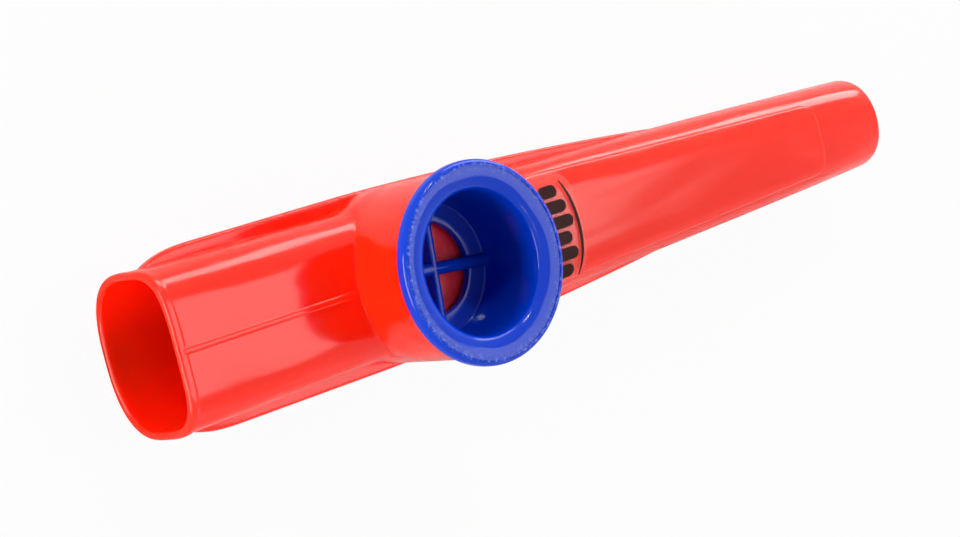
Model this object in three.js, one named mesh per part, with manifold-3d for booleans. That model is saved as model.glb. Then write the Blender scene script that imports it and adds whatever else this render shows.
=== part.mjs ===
// Plastic kazoo: a one-piece hollow body with a round turret, and a flared cap that holds a
// membrane down on the turret's seat. Millimetres. +X runs from the mouthpiece to the outlet,
// +Z is up along the turret, and the underside lies in the plane z = 0.
import * as THREE from 'three';
import { LoftGeometry } from 'three/addons/geometries/LoftGeometry.js';
import { mergeVertices } from 'three/addons/utils/BufferGeometryUtils.js';
import Module from 'manifold-3d';

const wasm = await Module();
wasm.setup();

// ---- driving dimensions -------------------------------------------------------------------

// Body shell. The section is a rounded oblong at the mouthpiece and a circle at the outlet.
const bodyLength = 120;
const mouthHalfWidth = 9.1;
const mouthUpperHeight = 7.8;
const mouthLowerHeight = 7.3;
const mouthUpperExponent = 3.8;
const mouthLowerExponent = 2.5;
const outletRadius = 6.2;
const roundExponent = 2;
const exponentFade = 0.35;
const sideBulge = 0.35;
const wall = 1.2;
const undersideTrim = 0.15;

// Lip around the mouthpiece, slightly proud of the deck behind it.
const lipWidth = 1.1;
const lipProud = 0.12;
const lipEdgeRound = 0.4;
const lipWall = 0.8;
const outletEdgeRound = 0.3;

// Thin side fins at half height.
const finReach = 1.3;
const finThickness = 1.6;
const finMidHeight = 6.4;
const finStart = 2.6;
const finNoseRun = 2;
const finShoulder = 11.5;
const finTaperStart = 32;
const finEnd = 84;
const finEdgeRound = 0.4;
const finRootDepth = 0.5;
const finEndDepth = 0.12;

// Raised line down the middle of the deck.
const ribWidth = 0.8;
const ribHeight = 0.2;

// Raised panel on the far half of the deck.
const panelHeight = 0.3;
const panelTurretMargin = 0.95;
const panelFarMargin = 1.85;
const panelOutletGap = 12.7;
const panelCornerRadius = 1.7;

// Turret and the seat inside it.
const turretFromMouth = 35.3;
const turretTopRadius = 10.6;
const turretDraft = 0.4;
const turretHeight = 22.6;
const turretWall = 1.4;
const turretEdgeRound = 0.3;
const turretFootDrop = 2;
const turretFootRound = 0.5;
const fairingTouch = 3.4;
const fairingRun = 1.6;
const fairingDrop = 1.55;
const seatDepth = 1.85;
const seatThickness = 1.2;
const seatLedge = 2.9;

// Cap.
const pieceGap = 0.3;
const capRimOverhang = 0.9;
const capRimHeight = 1.8;
const capRimCrestInset = 0.75;
const capRimRound = 0.6;
const capMouthInset = 0.7;
const capMouthRound = 2.6;
const capMouthDrop = 0.1;
const capFloorInset = 1.4;
const capFloorThickness = 1;
const capFloorLedge = 2.1;
const capTurn = THREE.MathUtils.degToRad(-6);
const longSpokeWidth = 1.5;
const crossSpokeWidth = 1.1;
const spokeRise = 0.8;
const spokeRootDepth = 0.5;

// Membrane and the ring that carries it.
const ringThickness = 0.7;
const ringWidth = 1.9;
const filmThickness = 0.2;
const filmGap = 0.1;
const stackGap = 0.2;

// Clear sticker on the panel, next to the turret.
const labelThickness = 0.15;
const labelGap = 0.1;
const labelTurretGap = 2.6;
const labelLength = 11.5;
const labelSideInset = 0.4;
const labelCornerRadius = 3;

// Fineness of the faceted surfaces.
const sectionPoints = 60;
const turnedSteps = 60;
const sectionStep = 10;
const curveSteps = 12;
const edgeSteps = 3;

// ---- derived places -----------------------------------------------------------------------

const mouthX = -bodyLength / 2;
const outletX = bodyLength / 2;
const turretX = mouthX + turretFromMouth;
const panelEndX = outletX - panelOutletGap;
const finHalfWidth = mouthHalfWidth + finReach;
const turretBaseRadius = turretTopRadius - turretDraft;
const boreRadius = turretTopRadius - turretWall;
const seatHoleRadius = boreRadius - seatLedge;
const seatHeight = deckHeight(turretX) - seatDepth;
const sleeveRadius = boreRadius - pieceGap;
const capRimRadius = turretTopRadius + capRimOverhang;
const capMouthRadius = sleeveRadius - capMouthInset;
const capFloorRadius = sleeveRadius - capFloorInset;
const capHoleRadius = capFloorRadius - capFloorLedge;
const ringBottom = seatHeight + stackGap;
const ringTop = ringBottom + ringThickness;
const filmBottom = ringTop + filmGap;
const filmTop = filmBottom + filmThickness;
const capBottom = filmTop + pieceGap;
const capFloor = capBottom + capFloorThickness;
const rimBottom = turretHeight + pieceGap;
const rimTop = rimBottom + capRimHeight;

// ---- geometry helpers ---------------------------------------------------------------------

/** Turns a closed geometry into a solid that can be cut and joined. */
function solid(geometry) {
  const bare = new THREE.BufferGeometry();
  bare.setAttribute('position', geometry.getAttribute('position'));
  bare.setIndex(geometry.getIndex());
  const merged = mergeVertices(bare, 1e-5);
  const mesh = new wasm.Mesh({
    numProp: 3,
    vertProperties: new Float32Array(merged.attributes.position.array),
    triVerts: new Uint32Array(merged.index.array),
  });
  return new wasm.Manifold(mesh);
}

/** Turns a solid back into a geometry. */
function geometryOf(shape) {
  const mesh = shape.getMesh();
  const geometry = new THREE.BufferGeometry();
  geometry.setAttribute('position', new THREE.BufferAttribute(mesh.vertProperties, 3));
  geometry.setIndex(new THREE.BufferAttribute(mesh.triVerts, 1));
  geometry.computeVertexNormals();
  return geometry;
}

/** Turned solid about the vertical axis at the turret, from [radius, height] points. */
function turned(points) {
  const profile = points.map(([radius, height]) => new THREE.Vector2(radius, height));
  profile.push(profile[0].clone());
  const geometry = new THREE.LatheGeometry(profile, turnedSteps);
  geometry.rotateX(Math.PI / 2);
  geometry.translate(turretX, 0, 0);
  return solid(geometry);
}

/** Upright prism of a plan outline, with optional rounded edges. */
function upright(outline, bottom, top, edgeRound = 0) {
  const geometry = new THREE.ExtrudeGeometry(outline, {
    depth: top - bottom - 2 * edgeRound,
    curveSegments: curveSteps,
    bevelEnabled: edgeRound > 0,
    bevelSize: edgeRound,
    bevelOffset: -edgeRound,
    bevelThickness: edgeRound,
    bevelSegments: 2,
  });
  geometry.translate(0, 0, bottom + edgeRound);
  return solid(geometry);
}

/** Box given by its two opposite corners. */
function block(low, high) {
  const geometry = new THREE.BoxGeometry(high[0] - low[0], high[1] - low[1], high[2] - low[2]);
  geometry.translate((low[0] + high[0]) / 2, (low[1] + high[1]) / 2, (low[2] + high[2]) / 2);
  return solid(geometry);
}

/** Share of the way from the mouthpiece to the outlet, held at the ends. */
function along(x) {
  return THREE.MathUtils.clamp((x - mouthX) / bodyLength, 0, 1);
}

/** Sizes of the body's section at x, before any offset. */
function sectionAt(x) {
  const t = along(x);
  const fade = Math.pow(1 - t, exponentFade);
  const lower = THREE.MathUtils.lerp(mouthLowerHeight, outletRadius, t);
  const bulge = sideBulge * 4 * t * (1 - t);
  return {
    halfWidth: THREE.MathUtils.lerp(mouthHalfWidth, outletRadius, t) + bulge,
    upper: THREE.MathUtils.lerp(mouthUpperHeight, outletRadius, t),
    lower,
    upperExponent: THREE.MathUtils.lerp(roundExponent, mouthUpperExponent, fade),
    lowerExponent: THREE.MathUtils.lerp(roundExponent, mouthLowerExponent, fade),
    midHeight: lower - undersideTrim,
  };
}

/** Height of the deck along its middle line. */
function deckHeight(x) {
  const section = sectionAt(x);
  return section.midHeight + section.upper;
}

/** One ring of points around the body's section at x, grown by an offset. */
function sectionRing(x, offset) {
  const section = sectionAt(x);
  const ring = [];
  for (let i = 0; i < sectionPoints; i += 1) {
    const angle = (i / sectionPoints) * 2 * Math.PI;
    const cos = Math.cos(angle);
    const sin = Math.sin(angle);
    const exponent = sin > 0 ? section.upperExponent : section.lowerExponent;
    const height = (sin > 0 ? section.upper : section.lower) + offset;
    const spread = Math.pow(Math.abs(cos) ** exponent + Math.abs(sin) ** exponent, -1 / exponent);
    const y = (section.halfWidth + offset) * spread * cos;
    const z = section.midHeight + height * spread * sin;
    ring.push(new THREE.Vector3(x, y, z));
  }
  return ring;
}

/**
 * Stations that round an edge off, from an end face inward. A negative rounding draws the end
 * in, and a positive one flares it out.
 */
function edgeStations(endX, inward, offset, rounding) {
  const stations = [];
  for (let i = 0; i <= edgeSteps; i += 1) {
    const angle = (i / edgeSteps) * (Math.PI / 2);
    const x = endX + inward * Math.abs(rounding) * (1 - Math.cos(angle));
    stations.push([x, offset + rounding * (1 - Math.sin(angle))]);
  }
  return stations;
}

/** Points [radius, height] on an upright quarter ellipse about a centre, from an angle on. */
function quarter(centre, reach, startAngle) {
  const points = [];
  for (let i = 0; i <= edgeSteps; i += 1) {
    const angle = startAngle + (i / edgeSteps) * (Math.PI / 2);
    points.push([centre[0] + reach[0] * Math.cos(angle), centre[1] + reach[1] * Math.sin(angle)]);
  }
  return points;
}

/** Closed loft through [x, offset] stations. */
function loft(stations) {
  const rings = stations.map(([x, offset]) => sectionRing(x, offset));
  return solid(new LoftGeometry(rings, { capStart: true, capEnd: true }));
}

/** Evenly spaced stations between two places, at one offset. */
function evenStations(from, to, offset) {
  const count = Math.max(1, Math.round((to - from) / sectionStep));
  const stations = [];
  for (let i = 0; i <= count; i += 1) {
    stations.push([THREE.MathUtils.lerp(from, to, i / count), offset]);
  }
  return stations;
}

// ---- body ---------------------------------------------------------------------------------

/** Outer shape of the tube, with the proud lip and rounded ends. */
function outerTube() {
  return loft([
    ...edgeStations(mouthX, 1, lipProud, -lipEdgeRound),
    [mouthX + lipWidth - lipProud, lipProud],
    ...evenStations(mouthX + lipWidth, outletX - 2 * outletEdgeRound, 0),
    ...edgeStations(outletX, -1, 0, -outletEdgeRound).reverse(),
  ]);
}

/** Air channel from the mouthpiece to the outlet. */
function airChannel() {
  return loft([
    [mouthX - wall, -lipWall + lipEdgeRound],
    ...edgeStations(mouthX, 1, -lipWall, lipEdgeRound),
    ...evenStations(mouthX + 2 * lipWidth, outletX, -wall),
    [outletX + wall, -wall],
  ]);
}

/** Plate whose edges show as the two side fins. */
function fins() {
  const outline = new THREE.Shape();
  const rootHalfWidth = mouthHalfWidth - finRootDepth;
  const endHalfWidth = sectionAt(mouthX + finEnd).halfWidth - finEndDepth;
  const start = mouthX + finStart;
  const shoulder = mouthX + finShoulder;
  const taper = mouthX + finTaperStart;
  const end = mouthX + finEnd;
  const third = (end - taper) / 3;
  const dip = (finHalfWidth - endHalfWidth) / 3;
  outline.moveTo(start, -rootHalfWidth);
  outline.quadraticCurveTo(start + finNoseRun, -finHalfWidth, shoulder, -finHalfWidth);
  outline.lineTo(taper, -finHalfWidth);
  outline.bezierCurveTo(
    taper + third, -finHalfWidth + dip / 2, end - third, -finHalfWidth + dip, end, -endHalfWidth,
  );
  outline.lineTo(end, endHalfWidth);
  outline.bezierCurveTo(
    end - third, finHalfWidth - dip, taper + third, finHalfWidth - dip / 2, taper, finHalfWidth,
  );
  outline.lineTo(shoulder, finHalfWidth);
  outline.quadraticCurveTo(start + finNoseRun, finHalfWidth, start, rootHalfWidth);
  const half = finThickness / 2;
  return upright(outline, finMidHeight - half, finMidHeight + half, finEdgeRound);
}

/** Raised line along the deck, from the lip to the turret. */
function deckRib() {
  const start = mouthX + lipWidth / 2;
  const outline = new THREE.Shape();
  outline.moveTo(start, deckHeight(start) - wall / 2);
  outline.lineTo(turretX, deckHeight(turretX) - wall / 2);
  outline.lineTo(turretX, deckHeight(turretX) + ribHeight);
  outline.lineTo(start, deckHeight(start) + ribHeight);
  const geometry = new THREE.ExtrudeGeometry(outline, { depth: ribWidth, bevelEnabled: false });
  geometry.rotateX(Math.PI / 2);
  geometry.translate(0, ribWidth / 2, 0);
  return solid(geometry);
}

/** Half-width at x of the raised panel, which narrows evenly from the turret to its far end. */
function panelHalfWidth(x) {
  const nearHalfWidth = sectionAt(turretX).halfWidth - panelTurretMargin;
  const farHalfWidth = sectionAt(panelEndX).halfWidth - panelFarMargin;
  return THREE.MathUtils.mapLinear(x, turretX, panelEndX, nearHalfWidth, farHalfWidth);
}

/** Raised panel between the turret and the outlet, following the deck. */
function panel() {
  const far = panelEndX;
  const farHalfWidth = panelHalfWidth(far);
  const corner = far - panelCornerRadius;
  const outline = new THREE.Shape();
  outline.moveTo(turretX, -panelHalfWidth(turretX));
  outline.lineTo(corner, -panelHalfWidth(corner));
  outline.quadraticCurveTo(far, -farHalfWidth, far, -farHalfWidth + panelCornerRadius);
  outline.lineTo(far, farHalfWidth - panelCornerRadius);
  outline.quadraticCurveTo(far, farHalfWidth, corner, panelHalfWidth(corner));
  outline.lineTo(turretX, panelHalfWidth(turretX));
  const skin = loft(evenStations(turretX, outletX, panelHeight));
  return skin.intersect(upright(outline, sectionAt(outletX).midHeight, turretHeight));
}

/** Plan outline that eases the turret's side into the body's side. */
function fairings() {
  const sideHalfWidth = sectionAt(turretX).halfWidth - finRootDepth;
  const touch = fairingTouch;
  const touchHalfWidth = Math.sqrt(turretBaseRadius ** 2 - touch ** 2);
  const fairingReach = 2 * touch + fairingRun;
  const outline = new THREE.Shape();
  outline.moveTo(turretX - fairingReach, -sideHalfWidth);
  outline.quadraticCurveTo(turretX - 2 * touch, -sideHalfWidth, turretX - touch, -touchHalfWidth);
  outline.lineTo(turretX + touch, -touchHalfWidth);
  outline.quadraticCurveTo(turretX + 2 * touch, -sideHalfWidth, turretX + fairingReach, -sideHalfWidth);
  outline.lineTo(turretX + fairingReach, sideHalfWidth);
  outline.quadraticCurveTo(turretX + 2 * touch, sideHalfWidth, turretX + touch, touchHalfWidth);
  outline.lineTo(turretX - touch, touchHalfWidth);
  outline.quadraticCurveTo(turretX - 2 * touch, sideHalfWidth, turretX - fairingReach, sideHalfWidth);
  return upright(outline, finMidHeight, deckHeight(turretX) - fairingDrop);
}

/** Turret before it is bored. */
function turret() {
  const foot = finMidHeight - turretFootDrop;
  return turned([
    [0, foot],
    [turretBaseRadius - turretFootRound, foot],
    [turretBaseRadius, foot + turretFootRound],
    [turretTopRadius, turretHeight - turretEdgeRound],
    [turretTopRadius - turretEdgeRound, turretHeight],
    [0, turretHeight],
  ]);
}

/** Cup that hangs from the roof of the channel and carries the membrane's seat. */
function seatCup() {
  return turned([
    [0, seatHeight - seatThickness],
    [boreRadius + wall / 2, seatHeight - seatThickness],
    [boreRadius + wall / 2, deckHeight(turretX)],
    [0, deckHeight(turretX)],
  ]);
}

/** Bore of the turret above the seat, with the hole through the seat. */
function turretBore() {
  const top = turretHeight + wall;
  const bottom = seatHeight - seatThickness - wall;
  return turned([
    [0, bottom],
    [seatHoleRadius, bottom],
    [seatHoleRadius, seatHeight],
    [boreRadius, seatHeight],
    [boreRadius, top],
    [0, top],
  ]);
}

/** Everything below the plane that the kazoo lies on. */
function belowUnderside() {
  return block([mouthX - wall, -finHalfWidth, -wall], [outletX + wall, finHalfWidth, 0]);
}

function bodyGeometry() {
  const shell = outerTube()
    .add(fins())
    .add(deckRib())
    .add(panel())
    .add(fairings())
    .add(turret())
    .subtract(airChannel())
    .add(seatCup())
    .subtract(turretBore())
    .subtract(belowUnderside());
  return geometryOf(shell);
}

// ---- cap ----------------------------------------------------------------------------------

/** Flared cup without its spokes. */
function capCup() {
  const crest = [capRimRadius - capRimCrestInset, rimTop - capRimCrestInset];
  const edge = [capRimRadius - capRimRound, rimBottom + capRimRound];
  const mouth = [capMouthRadius + capMouthRound, rimBottom + capRimRound];
  return turned([
    [capHoleRadius, capBottom],
    [sleeveRadius - pieceGap, capBottom],
    [sleeveRadius, capBottom + pieceGap],
    [sleeveRadius, rimBottom],
    ...quarter(edge, [capRimRound, capRimRound], -Math.PI / 2),
    ...quarter(crest, [capRimCrestInset, capRimCrestInset], 0),
    ...quarter(mouth, [capMouthRound, rimTop - capMouthDrop - mouth[1]], Math.PI / 2),
    [capFloorRadius, capFloor],
    [capHoleRadius, capFloor],
  ]);
}

/** Spoke across the hole in the cap's floor, turned by an angle. */
function spoke(width, angle) {
  const reach = capFloorRadius + spokeRootDepth;
  const geometry = new THREE.BoxGeometry(2 * reach, width, capFloorThickness + spokeRise);
  geometry.rotateZ(angle);
  geometry.translate(turretX, 0, capBottom + (capFloorThickness + spokeRise) / 2);
  return solid(geometry);
}

function capGeometry() {
  const cup = capCup()
    .add(spoke(longSpokeWidth, capTurn))
    .add(spoke(crossSpokeWidth, capTurn + Math.PI / 2));
  return geometryOf(cup);
}

// ---- membrane, its ring and the label -------------------------------------------------------

function membraneRingGeometry() {
  return geometryOf(turned([
    [sleeveRadius - ringWidth, ringBottom],
    [sleeveRadius, ringBottom],
    [sleeveRadius, ringTop],
    [sleeveRadius - ringWidth, ringTop],
  ]));
}

function membraneGeometry() {
  return geometryOf(turned([
    [0, filmBottom],
    [sleeveRadius, filmBottom],
    [sleeveRadius, filmTop],
    [0, filmTop],
  ]));
}

/** Sticker film that follows the panel's curve. */
function labelGeometry() {
  const start = turretX + turretTopRadius + labelTurretGap;
  const end = start + labelLength;
  const side = panelHalfWidth(start) - labelSideInset;
  const corner = labelCornerRadius;
  const outline = new THREE.Shape();
  outline.moveTo(start + corner, -side);
  outline.lineTo(end - corner, -side);
  outline.quadraticCurveTo(end, -side, end, -side + corner);
  outline.lineTo(end, side - corner);
  outline.quadraticCurveTo(end, side, end - corner, side);
  outline.lineTo(start + corner, side);
  outline.quadraticCurveTo(start, side, start, side - corner);
  outline.lineTo(start, -side + corner);
  outline.quadraticCurveTo(start, -side, start + corner, -side);
  const under = panelHeight + labelGap;
  const stationsFrom = start - labelTurretGap;
  const stationsTo = end + labelTurretGap;
  const film = loft(evenStations(stationsFrom, stationsTo, under + labelThickness))
    .subtract(loft(evenStations(stationsFrom - wall, stationsTo + wall, under)))
    .intersect(upright(outline, sectionAt(start).midHeight, turretHeight));
  return geometryOf(film);
}

// ---- finishes and assembly ----------------------------------------------------------------

/** Glossy red moulded plastic. */
function redPlastic() {
  return new THREE.MeshStandardMaterial({ color: 0xf5331f, roughness: 0.18, metalness: 0 });
}

/** Glossy blue moulded plastic. */
function bluePlastic() {
  return new THREE.MeshStandardMaterial({ color: 0x1f3fd6, roughness: 0.22, metalness: 0 });
}

/** Thin milky plastic film. */
function membraneFilm() {
  return new THREE.MeshStandardMaterial({ color: 0xe9d8d2, roughness: 0.4, metalness: 0 });
}

/** White card-like ring. */
function ringPlastic() {
  return new THREE.MeshStandardMaterial({ color: 0xf1eee6, roughness: 0.5, metalness: 0 });
}

/** Clear sticker film over the red body. */
function labelFilm() {
  return new THREE.MeshStandardMaterial({ color: 0xf25b49, roughness: 0.15, metalness: 0 });
}

function named(name, geometry, material) {
  const mesh = new THREE.Mesh(geometry, material);
  mesh.name = name;
  return mesh;
}

const kazoo = new THREE.Group();
kazoo.add(named('body', bodyGeometry(), redPlastic()));
kazoo.add(named('cap', capGeometry(), bluePlastic()));
kazoo.add(named('membrane', membraneGeometry(), membraneFilm()));
kazoo.add(named('membrane_ring', membraneRingGeometry(), ringPlastic()));
kazoo.add(named('label', labelGeometry(), labelFilm()));

export default kazoo;
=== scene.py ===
"""Moulded plastic kazoo: finished pieces, light and camera around the engineering frame.

Lengths are millimetres until a piece is finished. +X runs from the mouthpiece to the outlet, +Z is up
along the turret, and the underside lies in the plane z = 0.
"""

import logging
import math
from collections.abc import Callable, Sequence
from dataclasses import dataclass
from enum import Enum

import bmesh
import bpy
from mathutils import Matrix, Vector


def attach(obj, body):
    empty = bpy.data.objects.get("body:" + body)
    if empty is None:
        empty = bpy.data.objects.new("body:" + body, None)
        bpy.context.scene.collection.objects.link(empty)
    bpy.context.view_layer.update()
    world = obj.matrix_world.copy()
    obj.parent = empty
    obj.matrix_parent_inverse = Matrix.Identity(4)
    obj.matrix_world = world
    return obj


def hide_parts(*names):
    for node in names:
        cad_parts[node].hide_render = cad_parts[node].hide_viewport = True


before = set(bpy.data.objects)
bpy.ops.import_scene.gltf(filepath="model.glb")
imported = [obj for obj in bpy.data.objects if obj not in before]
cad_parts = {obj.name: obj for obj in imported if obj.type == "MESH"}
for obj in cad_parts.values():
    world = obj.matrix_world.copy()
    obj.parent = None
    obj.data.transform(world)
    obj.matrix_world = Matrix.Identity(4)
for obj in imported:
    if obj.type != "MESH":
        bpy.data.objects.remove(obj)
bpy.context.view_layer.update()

MM = 0.001
SMOOTH_ANGLE = math.radians(32)
OVERSHOOT = 1.0  # how far a cutting solid reaches past the surface that it opens

log = logging.getLogger("kazoo")

Profile = Sequence[tuple[float, float]]


class Carrier(Enum):
    """Moving body that a piece rides on."""

    BODY = "body"
    CAP = "cap"
    MEMBRANE = "membrane"


class Cut(Enum):
    """Ways of combining two solids."""

    JOIN = "UNION"
    REMOVE = "DIFFERENCE"


# ---- small geometry helpers ------------------------------------------------------------------


def lerp(start: float, end: float, share: float) -> float:
    """Value that lies a share of the way from start to end."""
    return start + (end - start) * share


def eased(share: float) -> float:
    """Share from 0 to 1 that starts and stops gently, held at the ends."""
    held = min(1.0, max(0.0, share))
    return held * held * (3 - 2 * held)


def arc(
    centre: tuple[float, float],
    reach: tuple[float, float],
    start: float,
    end: float,
    steps: int = 8,
) -> list[tuple[float, float]]:
    """Points on part of an upright ellipse.

    Args:
        centre: Middle of the ellipse, as radius and height.
        reach: Half sizes of the ellipse, as radius and height.
        start: First angle in degrees, from the outward direction.
        end: Last angle in degrees.
        steps: Number of straight runs.

    Returns:
        The points in order, both ends included.
    """
    points = []
    for i in range(steps + 1):
        angle = math.radians(lerp(start, end, i / steps))
        points.append((centre[0] + reach[0] * math.cos(angle), centre[1] + reach[1] * math.sin(angle)))
    return points


def spaced(start: float, end: float, step: float) -> list[float]:
    """Evenly spaced places from start to end, both included, about a step apart."""
    count = max(1, round(abs(end - start) / step))
    return [lerp(start, end, i / count) for i in range(count + 1)]


def turned(profile: Profile, centre_x: float, steps: int = 192) -> bmesh.types.BMesh:
    """Spins a profile about the upright axis at centre_x into a closed solid.

    Args:
        profile: Radius and height of each point. It is closed on itself unless it starts on the axis.
        centre_x: Place of the axis along the kazoo.
        steps: Number of facets around.

    Returns:
        The solid, faces outward.
    """
    bm = bmesh.new()
    verts = [bm.verts.new((radius, 0, height)) for radius, height in profile]
    edges = [bm.edges.new(pair) for pair in zip(verts, verts[1:])]
    if profile[0][0] > 0:
        edges.append(bm.edges.new((verts[-1], verts[0])))
    bmesh.ops.spin(
        bm,
        geom=verts + edges,
        cent=(0, 0, 0),
        axis=(0, 0, 1),
        angle=math.tau,
        steps=steps,
        use_merge=True,
        use_duplicate=False,
    )
    bmesh.ops.remove_doubles(bm, verts=bm.verts, dist=1e-4)
    bmesh.ops.recalc_face_normals(bm, faces=bm.faces)
    bmesh.ops.translate(bm, vec=(centre_x, 0, 0), verts=bm.verts)
    return bm


def drawn(
    stations: int, around: int, place: Callable[[int, float], tuple[float, float, float]]
) -> bmesh.types.BMesh:
    """Draws a ring out into a closed tube, then lays each point where the section law says.

    Args:
        stations: Number of rings along the tube.
        around: Points in each ring.
        place: Gives a point from its ring's number and its angle around the ring.

    Returns:
        The solid, faces outward.
    """
    bm = bmesh.new()
    bmesh.ops.create_circle(bm, segments=around, radius=1, matrix=Matrix.Rotation(math.pi / 2, 4, "Y"))
    ring = bm.edges[:]
    for _ in range(stations - 1):
        grown = bmesh.ops.extrude_edge_only(bm, edges=ring)["geom"]
        ring = [item for item in grown if isinstance(item, bmesh.types.BMEdge)]
        moved = [item for item in grown if isinstance(item, bmesh.types.BMVert)]
        bmesh.ops.translate(bm, vec=(1, 0, 0), verts=moved)
    bmesh.ops.holes_fill(bm, edges=[edge for edge in bm.edges if edge.is_boundary], sides=0)
    for vert in bm.verts:
        vert.co = place(round(vert.co.x), math.atan2(vert.co.z, vert.co.y))
    bmesh.ops.recalc_face_normals(bm, faces=bm.faces)
    return bm


@dataclass(frozen=True)
class Patch:
    """Low raised patch with rounded edges that follows the surface below it."""

    columns: Sequence[float]
    half_width: Callable[[float], float]
    centre_y: float = 0.0
    edge: float = 0.3
    cells_across: int = 16
    edge_steps: int = 5

    def rows(self) -> list[float]:
        """Places across: shares of the middle from -1 to 1, then millimetres of edge beyond them."""
        turns = [math.pi / 2 * (i + 1) / self.edge_steps for i in range(self.edge_steps)]
        rim = [1 + self.edge * math.sin(turn) for turn in turns]
        middle = spaced(-1, 1, 2 / self.cells_across)
        return [-place for place in reversed(rim)] + middle + rim

    def solid(
        self, top: Callable[[float, float, float], float], bottom: Callable[[float, float], float]
    ) -> bmesh.types.BMesh:
        """Builds the patch.

        Args:
            top: Height of the upper face at x and y, from how full the patch is there (0 to 1).
            bottom: Height of the lower face at x and y.

        Returns:
            The closed solid, faces outward.
        """
        rows = self.rows()
        last_column = len(self.columns) - 1
        last_row = len(rows) - 1
        bm = bmesh.new()
        bmesh.ops.create_grid(bm, x_segments=last_column, y_segments=last_row, size=0.5)
        lower = bm.verts[:]
        grown = bmesh.ops.extrude_face_region(bm, geom=bm.faces[:])["geom"]
        upper = {item for item in grown if isinstance(item, bmesh.types.BMVert)}
        for vert in lower + list(upper):
            x = self.columns[round((vert.co.x + 0.5) * last_column)]
            row = rows[round((vert.co.y + 0.5) * last_row)]
            half = max(self.half_width(x), self.edge)
            middle = min(1.0, max(-1.0, row))
            y = middle * (half - self.edge) + (row - middle)
            depth = min(half - abs(y), x - self.columns[0], self.columns[-1] - x) / self.edge
            fullness = math.sqrt(max(0.0, 1 - (1 - min(1.0, max(0.0, depth))) ** 2))
            y += self.centre_y
            vert.co = (x, y, top(x, y, fullness) if vert in upper else bottom(x, y))
        bmesh.ops.recalc_face_normals(bm, faces=bm.faces)
        return bm


def merged(parts: Sequence[bmesh.types.BMesh]) -> bmesh.types.BMesh:
    """Puts separate solids into one bmesh and frees them."""
    whole = bmesh.new()
    for part in parts:
        mesh = bpy.data.meshes.new("part")
        part.to_mesh(mesh)
        part.free()
        whole.from_mesh(mesh)
        bpy.data.meshes.remove(mesh)
    return whole


def ends_rounded(start: float, end: float, radius: float, step: float) -> list[float]:
    """Places from start to end that crowd together along the rounded corner at each end."""
    turn = [radius * (1 - math.cos(math.pi / 2 * i / 8)) for i in range(8)]
    middle = spaced(start + radius, end - radius, step)
    return [start + run for run in turn] + middle + [end - run for run in reversed(turn)]


def corner_inset(place: float, start: float, end: float, radius: float) -> float:
    """How far a rounded corner draws the side in at a place between start and end."""
    run = min(place - start, end - place, radius)
    return radius - math.sqrt(max(0.0, radius**2 - (radius - max(0.0, run)) ** 2))


def as_object(name: str, bm: bmesh.types.BMesh) -> bpy.types.Object:
    """Puts a bmesh into a new object of the scene and frees it."""
    mesh = bpy.data.meshes.new(name)
    bm.to_mesh(mesh)
    bm.free()
    made = bpy.data.objects.new(name, mesh)
    bpy.context.scene.collection.objects.link(made)
    return made


def carved(
    name: str, start: bmesh.types.BMesh, steps: Sequence[tuple[Cut, bmesh.types.BMesh]]
) -> bmesh.types.BMesh:
    """Joins and removes solids, one after another.

    Args:
        name: Name for the work in progress.
        start: The first solid.
        steps: What is done with each further solid, in order.

    Returns:
        The finished solid.
    """
    work = as_object(name, start)
    tools = []
    for number, (cut, shape) in enumerate(steps):
        tool = as_object(f"{name}_tool_{number}", shape)
        tools.append(tool)
        modifier = work.modifiers.new(f"step_{number}", "BOOLEAN")
        modifier.operation = cut.value
        modifier.object = tool
        modifier.solver = "MANIFOLD"
    depsgraph = bpy.context.evaluated_depsgraph_get()
    result = bmesh.new()
    result.from_object(work, depsgraph)
    for spent in [work, *tools]:
        mesh = spent.data
        bpy.data.objects.remove(spent)
        bpy.data.meshes.remove(mesh)
    bmesh.ops.remove_doubles(result, verts=result.verts, dist=2e-4)
    return result


def finished(
    name: str,
    bm: bmesh.types.BMesh,
    carrier: Carrier,
    material: bpy.types.Material,
    node: str | None = None,
) -> bpy.types.Object:
    """Turns a solid into a finished piece on its moving body.

    Args:
        name: Name of the piece.
        bm: The solid, in millimetres.
        carrier: Moving body that the piece rides on.
        material: Its finish.
        node: Engineering node that the piece replaces, if it does.

    Returns:
        The piece.
    """
    bmesh.ops.scale(bm, vec=(MM, MM, MM), verts=bm.verts)
    piece = as_object(name, bm)
    mesh = piece.data
    mesh.polygons.foreach_set("use_smooth", [True] * len(mesh.polygons))
    mesh.set_sharp_from_angle(angle=SMOOTH_ANGLE)
    weighted = piece.modifiers.new("even_shading", "WEIGHTED_NORMAL")
    weighted.keep_sharp = True
    mesh.materials.append(material)
    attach(piece, carrier.value)
    if node is not None:
        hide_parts(node)
    log.info("%s: %d faces on %s", name, len(mesh.polygons), carrier.value)
    return piece


# ---- finishes -------------------------------------------------------------------------------


def linear(code: str) -> tuple[float, float, float, float]:
    """Turns an sRGB hex colour into linear red, green, blue and alpha."""
    parts = [int(code[i : i + 2], 16) / 255 for i in (1, 3, 5)]
    flat = [part / 12.92 if part <= 0.04045 else ((part + 0.055) / 1.055) ** 2.4 for part in parts]
    return (*flat, 1.0)


def add_node(
    tree: bpy.types.NodeTree, kind: str, inputs: dict | None = None, **settings: object
) -> bpy.types.Node:
    """Adds a shader node.

    Args:
        tree: Node tree that gets the node.
        kind: Blender's type name of the node.
        inputs: Value or linked output for each input, by name or number.
        settings: Properties of the node itself.

    Returns:
        The node.
    """
    made = tree.nodes.new(kind)
    for key, value in settings.items():
        setattr(made, key, value)
    for key, value in (inputs or {}).items():
        if isinstance(value, bpy.types.NodeSocket):
            tree.links.new(value, made.inputs[key])
        else:
            made.inputs[key].default_value = value
    return made


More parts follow.
